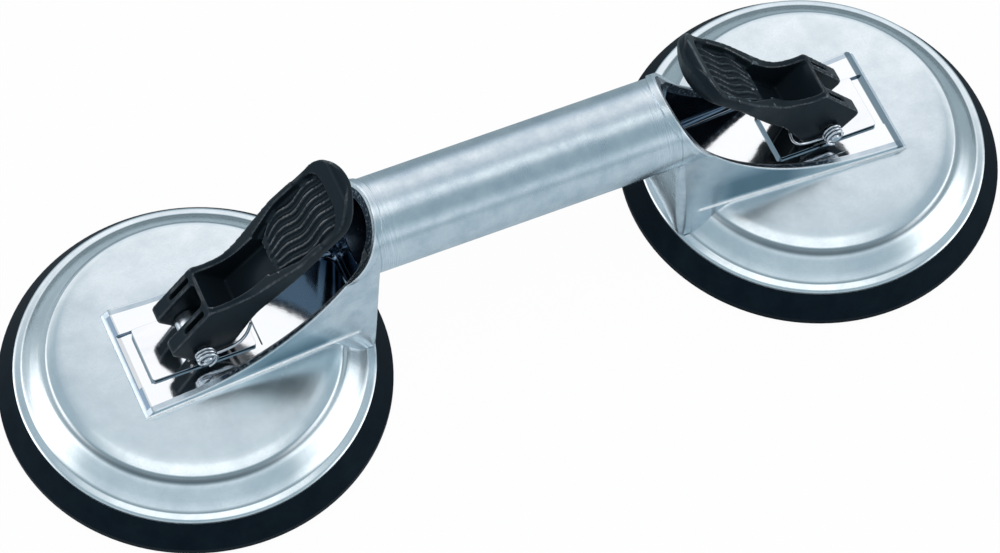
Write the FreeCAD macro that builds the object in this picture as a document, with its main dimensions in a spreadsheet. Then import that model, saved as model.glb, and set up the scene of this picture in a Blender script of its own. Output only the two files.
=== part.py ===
import FreeCAD, Part
import math
import os
import Sketcher

# Floor tile suction lifter: a one-piece cast handle joins two vacuum cups, and a flip lever on
# each cup pulls the middle of its rubber pad up. Millimetres, +Z up, the origin on the floor
# midway between the cups, +X along the handle. Each cup is drawn in its own frame, with the
# origin on its axis and +X towards the handle. The right cup is the left one's mirror image.

doc = FreeCAD.newDocument("floor_tile_suction_lifter")

# ---- driving dimensions -------------------------------------------------------------------

DIMENSIONS = {
    # cups
    "cup_spacing": 203.5,
    "pad_radius": 59.0,
    "pad_edge_height": 3.5,
    "pad_edge_chamfer": 1.5,
    "pad_membrane": 4.0,
    "pad_ring_inner": 46.0,
    "seal_rib_depth": 1.0,
    "seal_rib_width": 1.6,
    "seal_rib_pitch": 6.0,
    # pressed discs
    "disc_radius": 53.9,
    "disc_sheet": 1.5,
    "flange_seat": 10.0,
    "flange_rise": 1.3,
    "shoulder_foot_radius": 49.5,
    "shoulder_foot_height": 12.5,
    "plateau_radius": 41.0,
    "plateau_height": 22.2,
    "shoulder_top_bend": 7.0,
    "shoulder_foot_bend": 4.0,
    # cast handle
    "tube_radius": 14.1,
    "tube_bore_radius": 11.0,
    "tube_height": 53.4,
    "foot_front_reach": 22.4,
    "foot_bevel": 2.4,
    "foot_front_half_width": 19.7,
    "foot_rear_half_width": 15.8,
    "foot_rear_reach": 52.2,
    "foot_rear_lean": 2.4,
    "foot_rear_round": 2.5,
    "foot_draft": 3.6,
    "foot_floor": 24.6,
    "foot_wall": 2.2,
    "foot_rear_wall": 2.6,
    "scoop_rim_radius": 70.6,
    "scoop_rim_setback": 10.5,
    "scoop_corner": 5.0,
    "channel_half_width": 9.6,
    "channel_depth": 0.8,
    "channel_rear_reach": 18.0,
    "collar_height": 0.7,
    "collar_width": 2.2,
    # cam plates and guide bushes
    "plate_half_width": 9.3,
    "plate_front_reach": 16.2,
    "plate_rear_reach": 16.2,
    "plate_thickness": 1.7,
    "plate_corner": 0.8,
    "bush_radius": 6.0,
    "bush_flange_radius": 9.0,
    "bush_flange": 1.4,
    # pull studs, pad cores and pins
    "stud_radius": 3.3,
    "stud_eye_radius": 4.6,
    "stud_eye_half_width": 3.35,
    "pin_radius": 1.5,
    "pin_height": 31.3,
    "pin_end_round": 0.7,
    "pin_near_reach": 12.9,
    "pin_far_reach": 10.8,
    "core_radius": 20.0,
    "core_thickness": 2.0,
    "core_hub_radius": 6.5,
    "core_hub_height": 6.0,
    "ring_radius": 3.4,
    "ring_thickness": 0.8,
    "washer_radius": 4.2,
    "washer_thickness": 0.6,
    # springs
    "return_spring_radius": 8.6,
    "return_spring_wire": 0.7,
    "return_spring_turns": 4.0,
    "lever_spring_radius": 3.1,
    "lever_spring_wire": 0.4,
    "lever_spring_turns": 3.0,
    "lever_spring_leg": 15.0,
    # flip levers, drawn flat with the pin at the origin
    "lever_angle": 44.6,
    "lever_length": 71.0,
    "lever_half_width": 8.5,
    "prong_back": 5.3,
    "prong_top": 9.3,
    "prong_gap_half_width": 3.7,
    "prong_pocket_width": 1.5,
    "prong_pocket_length": 9.5,
    "prong_pocket_depth": 7.0,
    "nose_round": 2.4,
    "heel_drop": 8.4,
    "heel_reach": 3.6,
    "heel_start_drop": 6.6,
    "heel_shift": 1.0,
    "heel_round": 3.0,
    "prong_back_drop": 2.0,
    "web_reach": 15.1,
    "web_top": 11.5,
    "web_thickness": 1.5,
    "stem_underside": 4.8,
    "stem_reach": 35.0,
    "waist_top": 4.0,
    "waist_reach": 22.0,
    "trough_half_width": 6.3,
    "trough_floor": 2.4,
    "inner_round": 1.0,
    "pad_half_width": 12.3,
    "pad_start": 45.0,
    "pad_end": 63.5,
    "pad_rim_top": 3.4,
    "pad_tip_round": 11.4,
    "pad_neck_half_width": 7.0,
    "pad_dish_half_width": 10.2,
    "pad_dish_depth": 3.0,
    "pad_dish_round": 6.0,
    "tip_top": 6.2,
    "tip_round": 2.4,
    "belly_radius": 18.2,
    "stem_relief": 2.1,
    "rib_count": 7.0,
    "rib_pitch": 2.75,
    "rib_fan": 0.62,
    "rib_width": 1.1,
    "rib_height": 0.9,
    "rib_wave": 2.0,
    # foot screws
    "screw_radius": 1.5,
    "screw_head_radius": 2.9,
    "screw_inset": 6.0,
    "screw_cover": 0.8,
    "screw_front_reach": 18.0,
    "screw_rear_reach": 32.0,
    # spare length on shapes that are trimmed or cut away
    "trim_spare": 6.0,
    # clearances
    "slide_clearance": 0.05,
    "hinge_clearance": 0.05,
    "screw_clearance": 0.05,
    "side_clearance": 0.3,
    "seat_gap": 0.1,
}

sizes = doc.addObject("Spreadsheet::Sheet", "sizes")
for row, (alias, number) in enumerate(DIMENSIONS.items(), start=1):
    sizes.set(f"A{row}", alias)
    sizes.set(f"B{row}", str(number))
    sizes.setAlias(f"B{row}", alias)
doc.recompute()


def value(expression):
    """The number that an expression on the sheet gives now."""
    found = sizes.evalExpression(str(expression))
    return float(getattr(found, "Value", found))


# ---- sketch and feature helpers -----------------------------------------------------------

ACROSS = FreeCAD.Vector(0, 1, 0)
UP = FreeCAD.Vector(0, 0, 1)


def new_body(name):
    return doc.addObject("PartDesign::Body", name)


def new_sketch(body, name, role, lift=None):
    """An empty sketch on one of the body's own origin planes, lifted along its normal."""
    sketch = body.newObject("Sketcher::SketchObject", name)
    plane = next(item for item in body.Origin.OriginFeatures if item.Role == role)
    sketch.AttachmentSupport = (plane, [""])
    sketch.MapMode = "FlatFace"
    if lift:
        sketch.setExpression("AttachmentOffset.Base.z", lift)
    return sketch


def bind(sketch, kind, references, expression):
    """Add one dimension to a sketch and tie it to the sheet."""
    index = sketch.addConstraint(Sketcher.Constraint(kind, *references, value(expression)))
    sketch.setExpression(f"Constraints[{index}]", str(expression))


def place_point(sketch, geometry, vertex, x, y):
    bind(sketch, "DistanceX", (-1, 1, geometry, vertex), x)
    bind(sketch, "DistanceY", (-1, 1, geometry, vertex), y)


def add_circle(sketch, x, y, radius):
    centre = FreeCAD.Vector(value(x), value(y), 0)
    index = sketch.addGeometry(Part.Circle(centre, UP, value(radius)))
    place_point(sketch, index, 3, x, y)
    bind(sketch, "Radius", (index,), radius)


def add_outline(sketch, corners):
    """A closed outline. Each corner is x, y and, where it is rounded, a radius."""
    points = [FreeCAD.Vector(value(corner[0]), value(corner[1]), 0) for corner in corners]
    count = len(corners)
    starts, finishes, arcs = [], [], {}
    for index, corner in enumerate(corners):
        point = points[index]
        if len(corner) < 3:
            starts.append(point)
            finishes.append(point)
            continue
        radius = value(corner[2])
        back = (points[index - 1] - point).normalize()
        ahead = (points[(index + 1) % count] - point).normalize()
        half_angle = back.getAngle(ahead) / 2
        cut_back = radius / math.tan(half_angle)
        middle = (back + ahead).normalize() * (radius / math.sin(half_angle)) + point
        starts.append(point + back * cut_back)
        finishes.append(point + ahead * cut_back)
        arcs[index] = (middle, radius, back.cross(ahead).z < 0)
    lines = []
    for index in range(count):
        line = Part.LineSegment(finishes[index], starts[(index + 1) % count])
        lines.append(sketch.addGeometry(line))
    for index, corner in enumerate(corners):
        before = lines[index - 1]
        after = lines[index]
        if index not in arcs:
            sketch.addConstraint(Sketcher.Constraint("Coincident", before, 2, after, 1))
            place_point(sketch, after, 1, corner[0], corner[1])
            continue
        middle, radius, turns_left = arcs[index]
        first, last = starts[index] - middle, finishes[index] - middle
        if not turns_left:
            first, last = last, first
        circle = Part.Circle(middle, UP, radius)
        angles = (math.atan2(first.y, first.x), math.atan2(last.y, last.x))
        arc = sketch.addGeometry(Part.ArcOfCircle(circle, *angles))
        enters, leaves = (1, 2) if turns_left else (2, 1)
        sketch.addConstraint(Sketcher.Constraint("Tangent", before, 2, arc, enters))
        sketch.addConstraint(Sketcher.Constraint("Tangent", arc, leaves, after, 1))
        apex = sketch.addGeometry(Part.Point(points[index]), True)
        sketch.addConstraint(Sketcher.Constraint("PointOnObject", apex, 1, before))
        sketch.addConstraint(Sketcher.Constraint("PointOnObject", apex, 1, after))
        place_point(sketch, apex, 1, corner[0], corner[1])
        bind(sketch, "Radius", (arc,), corner[2])


def add_wire_section(sketch, x, y, radius, sides):
    """A regular polygon that stands for a wire's round or square section."""
    corners = []
    for number in range(sides):
        turn = 2 * math.pi * (number + 0.5) / sides
        corners.append((f"{x} + {math.cos(turn):.6f} * {radius}",
                        f"{y} + {math.sin(turn):.6f} * {radius}"))
    add_outline(sketch, corners)


def add_rectangle(sketch, low_x, low_y, high_x, high_y):
    corners = [(low_x, low_y), (high_x, low_y), (high_x, high_y), (low_x, high_y)]
    add_outline(sketch, corners)


def both_sides(half):
    """A closed outline from its half on the +Y side, mirrored on the sketch's X axis."""
    mirrored = [(corner[0], f"-({corner[1]})", *corner[2:]) for corner in half]
    return mirrored + half[::-1]


def add_pad(body, sketch, length, both_ways=False, reverse=False, draft=None):
    pad = body.newObject("PartDesign::Pad", sketch.Name + "_pad")
    pad.Profile = sketch
    pad.SideType = "Symmetric" if both_ways else "One side"
    pad.Reversed = reverse
    pad.setExpression("Length", length)
    if draft:
        pad.setExpression("TaperAngle", draft)
    sketch.Visibility = False
    return pad


def add_pocket(body, sketch, length, both_ways=False, reverse=False):
    pocket = body.newObject("PartDesign::Pocket", sketch.Name + "_pocket")
    pocket.Profile = sketch
    pocket.SideType = "Symmetric" if both_ways else "One side"
    pocket.Reversed = reverse
    pocket.setExpression("Length", length)
    return pocket


def add_turn(body, sketch, axis="V_Axis"):
    """A full turn of a sketch about one of its own axes."""
    turned = body.newObject("PartDesign::Revolution", sketch.Name + "_turn")
    turned.Profile = sketch
    turned.ReferenceAxis = (sketch, [axis])
    turned.Angle = 360
    return turned


def add_coil(body, sketch, pitch, turns, axis="V_Axis", reverse=False, left_handed=False):
    """Wind a wire section about one of the sketch's own axes."""
    coil = body.newObject("PartDesign::AdditiveHelix", sketch.Name + "_coil")
    coil.Profile = sketch
    coil.ReferenceAxis = (sketch, [axis])
    coil.Mode = "pitch-turns-angle"
    coil.Reversed = reverse
    coil.LeftHanded = left_handed
    coil.setExpression("Pitch", pitch)
    coil.setExpression("Turns", turns)
    return coil


def place_on_cup(item, height="0"):
    """Put a left-hand piece on the left cup's axis, at a height above the floor."""
    item.setExpression("Placement.Base.x", "-sizes.cup_spacing / 2")
    item.setExpression("Placement.Base.z", height)


def add_block(name, low, high):
    """A box between two corners, each given as three expressions."""
    box = doc.addObject("Part::Box", name)
    for side, axis, start, end in zip(("Length", "Width", "Height"), "xyz", low, high):
        box.setExpression(side, f"({end}) - ({start})")
        box.setExpression(f"Placement.Base.{axis}", start)
    return box


def add_cylinder(name, radius, height, axis=UP, base=("0", "0", "0")):
    cylinder = doc.addObject("Part::Cylinder", name)
    cylinder.Placement.Rotation = FreeCAD.Rotation(UP, axis)
    cylinder.setExpression("Radius", radius)
    cylinder.setExpression("Height", height)
    for letter, start in zip("xyz", base):
        cylinder.setExpression(f"Placement.Base.{letter}", start)
    return cylinder


def join(name, *pieces):
    joined = doc.addObject("Part::MultiFuse", name)
    joined.Shapes = list(pieces)
    joined.Refine = True
    return joined


def cut(name, base, tool):
    difference = doc.addObject("Part::Cut", name)
    difference.Base = base
    difference.Tool = tool
    difference.Refine = True
    return difference


def shared(name, first, second):
    """What two solids have in common."""
    common = doc.addObject("Part::Common", name)
    common.Base = first
    common.Tool = second
    common.Refine = True
    return common


# ---- pressed disc and rubber pad ----------------------------------------------------------

SHOULDER_RUN = ("(sizes.shoulder_foot_radius - sizes.plateau_radius)"
                " / (sizes.plateau_height - sizes.shoulder_foot_height)")
SHEET_RUN = f"sizes.disc_sheet * sqrt(1 + ({SHOULDER_RUN}) ^ 2)"
PLATEAU_UNDERSIDE = "sizes.plateau_height - sizes.disc_sheet"

# top of the disc, from the rim in to the axis
DISC_TOP = [
    ("sizes.disc_radius", "sizes.flange_seat + sizes.flange_rise", "0.6"),
    ("sizes.shoulder_foot_radius", "sizes.shoulder_foot_height", "sizes.shoulder_foot_bend"),
    ("sizes.plateau_radius", "sizes.plateau_height", "sizes.shoulder_top_bend"),
]


def make_disc():
    body = new_body("disc")
    profile = new_sketch(body, "disc_profile", "XZ_Plane")
    bore = "sizes.bush_radius + sizes.seat_gap"
    add_outline(profile, [
        (bore, PLATEAU_UNDERSIDE),
        (f"sizes.plateau_radius + sizes.disc_sheet * {SHOULDER_RUN} - {SHEET_RUN}",
         PLATEAU_UNDERSIDE, "sizes.shoulder_top_bend - sizes.disc_sheet"),
        (f"sizes.shoulder_foot_radius - {SHEET_RUN}"
         f" + (sizes.shoulder_foot_height - sizes.flange_seat) * {SHOULDER_RUN}",
         "sizes.flange_seat"),
        ("sizes.disc_radius", "sizes.flange_seat"),
        *DISC_TOP,
        (bore, "sizes.plateau_height"),
    ])
    add_turn(body, profile)
    holes = new_sketch(body, "disc_screw_holes", "XY_Plane", PLATEAU_UNDERSIDE)
    for x, y in SCREW_PLACES:
        add_circle(holes, x, y, "sizes.screw_radius + sizes.screw_clearance")
    add_pocket(body, holes, "sizes.disc_sheet * 2", reverse=True)
    place_on_cup(body)
    return body


def make_disc_envelope():
    """Everything under the disc's top face, which shapes the underside of the casting."""
    body = new_body("disc_envelope")
    profile = new_sketch(body, "disc_envelope_profile", "XZ_Plane")
    add_outline(profile, [
        ("0", "0"), ("sizes.pad_radius", "0"),
        ("sizes.pad_radius", "sizes.flange_seat + sizes.flange_rise"),
        *DISC_TOP[1:],
        ("0", "sizes.plateau_height"),
    ])
    add_turn(body, profile)
    body.setExpression("Placement.Base.z", "sizes.seat_gap / 2")
    return body


def make_rubber_pad():
    body = new_body("rubber_pad")
    profile = new_sketch(body, "rubber_pad_profile", "XZ_Plane")
    corners = [("0", "0")]
    for turn in (2, 1, 0):
        outer = f"sizes.pad_radius - sizes.seal_rib_pitch * {turn + 1}"
        inner = f"{outer} - sizes.seal_rib_width"
        corners += [(inner, "0"), (inner, "sizes.seal_rib_depth"),
                    (outer, "sizes.seal_rib_depth"), (outer, "0")]
    corners += [
        ("sizes.pad_radius - sizes.pad_edge_chamfer", "0"),
        ("sizes.pad_radius", "sizes.pad_edge_chamfer"),
        ("sizes.pad_radius", "sizes.pad_edge_height"),
        ("sizes.disc_radius + sizes.seat_gap", "sizes.flange_seat"),
        ("sizes.pad_ring_inner", "sizes.flange_seat"),
        ("sizes.pad_ring_inner", "sizes.pad_membrane"),
        ("0", "sizes.pad_membrane"),
    ]
    add_outline(profile, corners)
    add_turn(body, profile)
    place_on_cup(body)
    return body


# ---- cast handle --------------------------------------------------------------------------

FOOT_TAPER = ("(sizes.foot_front_half_width - sizes.foot_rear_half_width)"
              " / (sizes.foot_front_reach + sizes.foot_rear_reach)")
FOOT_BASE = "sizes.flange_seat + sizes.flange_rise"
WALL_DRAFT = f"(sizes.foot_floor - {FOOT_BASE}) * tan(sizes.foot_draft * 1 deg)"
CHANNEL_FLOOR = "sizes.foot_floor - sizes.channel_depth"
SCREW_LENGTH = f"(sizes.foot_floor - sizes.screw_cover - ({PLATEAU_UNDERSIDE}))"
ABOVE_TUBE = "sizes.tube_height * 1.5"


def foot_half_width(x):
    """Half the foot's width at its base, at a distance from the cup's axis."""
    return f"(sizes.foot_front_half_width - {FOOT_TAPER} * (sizes.foot_front_reach + {x}))"


def screw_place(reach):
    """A screw runs up into the foot beside its channel."""
    return f"{foot_half_width(reach)} - sizes.screw_inset"


SCREW_PLACES = [(reach, side + "(" + screw_place(reach) + ")")
                for reach in ("sizes.screw_front_reach", "sizes.screw_rear_reach")
                for side in ("-", "")]


def make_foot_block():
    """A drafted block in plan, trimmed to the foot's side view."""
    body = new_body("foot_block")
    front = "(-sizes.foot_front_reach - sizes.trim_spare)"
    rear = "(sizes.foot_rear_reach + sizes.trim_spare)"
    plan = new_sketch(body, "foot_plan", "XY_Plane", FOOT_BASE)
    add_outline(plan, [
        (front, "-" + foot_half_width(front)),
        (rear, "-" + foot_half_width(rear)),
        (rear, foot_half_width(rear)),
        (front, foot_half_width(front)),
    ])
    add_pad(body, plan, f"sizes.tube_height - ({FOOT_BASE})", draft="-sizes.foot_draft")
    side = new_sketch(body, "foot_side_view", "XZ_Plane")
    add_rectangle(side, "-sizes.cup_spacing / 2", "-sizes.tube_height",
                  "sizes.cup_spacing / 2", ABOVE_TUBE + " * 2")
    add_outline(side, [
        ("-sizes.foot_front_reach", "0"),
        ("sizes.foot_rear_reach", "0"),
        ("sizes.foot_rear_reach", FOOT_BASE),
        ("sizes.foot_rear_reach + sizes.foot_rear_lean", "sizes.tube_height"),
        ("sizes.foot_rear_reach + sizes.foot_rear_lean", ABOVE_TUBE),
        ("-sizes.scoop_rim_setback", ABOVE_TUBE),
        ("-sizes.scoop_rim_setback", "sizes.foot_floor"),
        ("-sizes.foot_front_reach + sizes.foot_bevel", "sizes.foot_floor"),
        ("-sizes.foot_front_reach", "sizes.foot_floor - sizes.foot_bevel"),
    ])
    add_pocket(body, side, "sizes.cup_spacing", both_ways=True)
    doc.recompute()
    round_edges(body, "foot_rear_rounding", "sizes.foot_rear_round", rear_corner)
    return body


def rear_corner(edge):
    """The two upright edges at the foot's rear wall."""
    low, high = edge.BoundBox.ZMin, edge.BoundBox.ZMax
    tall = high - low > value("sizes.tube_height - sizes.foot_floor")
    return tall and edge.BoundBox.XMin > value("sizes.foot_rear_reach") - 1


def round_edges(body, name, radius, wanted):
    """Fillet the edges of the body's last feature that pass a test."""
    last = body.Tip
    names = [f"Edge{number}" for number, edge in enumerate(last.Shape.Edges, start=1)
             if wanted(edge)]
    fillet = body.newObject("PartDesign::Fillet", name)
    fillet.Base = (last, names)
    fillet.setExpression("Radius", radius)
    return fillet


def make_collar():
    """A low lip on the tube that follows the rim of the scoop."""
    body = new_body("collar")
    ring = new_sketch(body, "collar_ring", "YZ_Plane", "sizes.tube_radius * 2")
    add_circle(ring, "0", "sizes.tube_height", "sizes.tube_radius + sizes.collar_height")
    add_pad(body, ring, "sizes.foot_rear_reach")
    band = new_sketch(body, "collar_band", "XZ_Plane")
    add_rectangle(band, "-sizes.cup_spacing", "-sizes.cup_spacing",
                  "sizes.cup_spacing", "sizes.cup_spacing * 2")
    add_circle(band, "-sizes.scoop_rim_setback", RIM_CENTRE,
               "sizes.scoop_rim_radius + sizes.collar_width")
    add_pocket(body, band, "sizes.cup_spacing", both_ways=True)
    return body


RIM_CENTRE = "sizes.foot_floor + sizes.scoop_rim_radius"


def make_scoop_hollow():
    """The inside of the scoop, with rounded corners and a rounded floor edge."""
    body = new_body("scoop_hollow")
    front = "(-sizes.foot_front_reach - sizes.trim_spare)"
    rear = "(sizes.foot_rear_reach - sizes.foot_rear_wall)"
    inset = f"{WALL_DRAFT} + sizes.foot_wall"
    plan = new_sketch(body, "scoop_plan", "XY_Plane", "sizes.foot_floor")
    add_outline(plan, [
        (front, f"-({foot_half_width(front)} - ({inset}))"),
        (rear, f"-({foot_half_width(rear)} - ({inset}))", "sizes.scoop_corner"),
        (rear, f"{foot_half_width(rear)} - ({inset})", "sizes.scoop_corner"),
        (front, f"{foot_half_width(front)} - ({inset})"),
    ])
    add_pad(body, plan, "sizes.tube_height")
    doc.recompute()
    round_edges(body, "scoop_floor_rounding", "sizes.scoop_corner / 2", at_scoop_floor)
    return body


def at_scoop_floor(edge):
    return edge.BoundBox.ZMax < value("sizes.foot_floor") + 0.01


def make_handle():
    half_length = "sizes.cup_spacing / 2"
    tube_start = "sizes.foot_rear_reach - sizes.tube_radius * 2"
    along = FreeCAD.Vector(1, 0, 0)
    tube = add_cylinder("tube", "sizes.tube_radius", f"{half_length} - ({tube_start})", along,
                        (tube_start, "0", "sizes.tube_height"))
    bore = add_cylinder("tube_bore", "sizes.tube_bore_radius",
                        f"{half_length} - ({tube_start})", along,
                        (tube_start, "0", "sizes.tube_height"))
    rim = add_cylinder("scoop_rim", "sizes.scoop_rim_radius", "sizes.cup_spacing", ACROSS,
                       ("-sizes.scoop_rim_setback", "-sizes.cup_spacing / 2", RIM_CENTRE))
    channel = add_block(
        "channel",
        ("-sizes.foot_front_reach - sizes.trim_spare", "-sizes.channel_half_width", CHANNEL_FLOOR),
        ("sizes.channel_rear_reach", "sizes.channel_half_width", "sizes.tube_height"))
    bush_bore = add_cylinder("bush_bore", "sizes.bush_radius + sizes.seat_gap",
                             "sizes.tube_height")
    screw_bores = new_body("screw_bores")
    screw_bores.AllowCompound = True
    places = new_sketch(screw_bores, "screw_places", "XY_Plane", PLATEAU_UNDERSIDE)
    for x, y in SCREW_PLACES:
        add_circle(places, x, y, "sizes.screw_radius + sizes.screw_clearance")
    add_pad(screw_bores, places, SCREW_LENGTH)
    blank = join("handle_blank", tube, make_foot_block(), make_collar())
    hollow = join("handle_hollow", bore, rim, make_scoop_hollow(), channel, bush_bore,
                  screw_bores, make_disc_envelope())
    half = cut("handle_half", blank, hollow)
    place_on_cup(half)
    other_half = doc.addObject("Part::Mirroring", "handle_other_half")
    other_half.Source = half
    other_half.Normal = (1, 0, 0)
    return join("handle_body", half, other_half)


# ---- wear plate, bush and screws ----------------------------------------------------------


def make_cam_plate():
    body = new_body("cam_plate")
    plan = new_sketch(body, "cam_plate_plan", "XY_Plane")
    front, rear = "-sizes.plate_front_reach", "sizes.plate_rear_reach"
    corner = "sizes.plate_corner"
    add_outline(plan, [
        (front, "-sizes.plate_half_width", corner),
        (rear, "-sizes.plate_half_width", corner),
        (rear, "sizes.plate_half_width", corner),
        (front, "sizes.plate_half_width", corner),
    ])
    add_circle(plan, "0", "0", "sizes.stud_radius + sizes.side_clearance")
    add_pad(body, plan, "sizes.plate_thickness")
    place_on_cup(body, CHANNEL_FLOOR)
    return body


def make_guide_bush():
    """A flanged sleeve that clamps the disc to the foot and guides the pull stud."""
    body = new_body("guide_bush")
    profile = new_sketch(body, "guide_bush_profile", "XZ_Plane")
    bore = "sizes.stud_radius + sizes.slide_clearance"
    flange_face = f"{PLATEAU_UNDERSIDE} - sizes.bush_flange"
    add_outline(profile, [
        (bore, flange_face),
        ("sizes.bush_flange_radius", flange_face),
        ("sizes.bush_flange_radius", PLATEAU_UNDERSIDE),
        ("sizes.bush_radius", PLATEAU_UNDERSIDE),
        ("sizes.bush_radius", CHANNEL_FLOOR),
        (bore, CHANNEL_FLOOR),
    ])
    add_turn(body, profile)
    place_on_cup(body)
    return body


def make_foot_screws():
    """Screws driven up through the disc into the side walls of the foot."""
    body = new_body("foot_screws")
    body.AllowCompound = True
    shanks = new_sketch(body, "screw_shanks", "XY_Plane")
    heads = new_sketch(body, "screw_heads", "XY_Plane")
    for x, y in SCREW_PLACES:
        add_circle(shanks, x, y, "sizes.screw_radius")
        add_circle(heads, x, y, "sizes.screw_head_radius")
    add_pad(body, heads, "sizes.screw_radius", reverse=True)
    add_pad(body, shanks, f"{SCREW_LENGTH} - sizes.screw_clearance")
    place_on_cup(body, PLATEAU_UNDERSIDE)
    return body


# ---- pad core, pull stud and pivot pin ----------------------------------------------------

CORE_SEAT = "sizes.pad_membrane + sizes.seat_gap"


def make_pad_core():
    """The steel plate bonded to the middle of the pad, with a hub for the stud."""
    body = new_body("pad_core")
    profile = new_sketch(body, "pad_core_profile", "XZ_Plane")
    hub_top = "sizes.core_thickness + sizes.core_hub_height"
    bore = "sizes.stud_radius + sizes.screw_clearance"
    add_outline(profile, [
        ("0", "0"),
        ("sizes.core_radius", "0"),
        ("sizes.core_radius", "sizes.core_thickness"),
        ("sizes.core_hub_radius", "sizes.core_thickness"),
        ("sizes.core_hub_radius", hub_top),
        (bore, hub_top),
        (bore, "sizes.core_thickness"),
        ("0", "sizes.core_thickness"),
    ])
    add_turn(body, profile)
    place_on_cup(body, CORE_SEAT)
    return body


def make_pull_stud():
    """A round stud with a cross-drilled eye for the pivot pin."""
    shank_start = f"{CORE_SEAT} + sizes.core_thickness"
    shank = add_cylinder("stud_shank", "sizes.stud_radius",
                         f"sizes.pin_height - ({shank_start})", UP, ("0", "0", shank_start))
    eye = add_cylinder("stud_eye", "sizes.stud_eye_radius", "sizes.stud_eye_half_width * 2",
                       ACROSS, ("0", "-sizes.stud_eye_half_width", "sizes.pin_height"))
    pin_hole = add_cylinder("stud_pin_hole", "sizes.pin_radius + sizes.hinge_clearance",
                            "sizes.stud_eye_half_width * 4", ACROSS,
                            ("0", "-sizes.stud_eye_half_width * 2", "sizes.pin_height"))
    stud = cut("pull_stud", join("stud_blank", shank, eye), pin_hole)
    place_on_cup(stud)
    return stud


def make_pivot_pin():
    body = new_body("pivot_pin")
    profile = new_sketch(body, "pivot_pin_profile", "YZ_Plane")
    groove_start = FAR_RING_START
    groove_end = f"{groove_start} + sizes.ring_thickness"
    add_outline(profile, [
        ("-sizes.pin_near_reach", "0"),
        ("sizes.pin_far_reach", "0"),
        ("sizes.pin_far_reach", "sizes.pin_radius"),
        (groove_end, "sizes.pin_radius"),
        (groove_end, GROOVE_RADIUS),
        (groove_start, GROOVE_RADIUS),
        (groove_start, "sizes.pin_radius"),
        ("-sizes.pin_near_reach", "sizes.pin_radius", "sizes.pin_end_round"),
    ])
    add_turn(body, profile, "H_Axis")
    place_on_cup(body, "sizes.pin_height")
    return body


WASHER_START = "sizes.lever_half_width + sizes.side_clearance"
FAR_RING_START = f"{WASHER_START} + sizes.washer_thickness + sizes.seat_gap"
GROOVE_RADIUS = "sizes.pin_radius * 0.8"


def make_pin_rings():
    """A washer against the lever's far cheek and the retaining ring outside it."""
    body = new_body("pin_rings")
    body.AllowCompound = True
    profile = new_sketch(body, "pin_rings_profile", "YZ_Plane")
    bore = "sizes.pin_radius + sizes.slide_clearance"
    add_rectangle(profile, WASHER_START, bore,
                  f"{WASHER_START} + sizes.washer_thickness", "sizes.washer_radius")
    add_rectangle(profile, FAR_RING_START, f"{GROOVE_RADIUS} + sizes.slide_clearance",
                  f"{FAR_RING_START} + sizes.ring_thickness - sizes.slide_clearance",
                  "sizes.ring_radius")
    add_turn(body, profile, "H_Axis")
    place_on_cup(body, "sizes.pin_height")
    return body


# ---- flip lever ---------------------------------------------------------------------------


RIB_STEPS = 4


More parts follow.
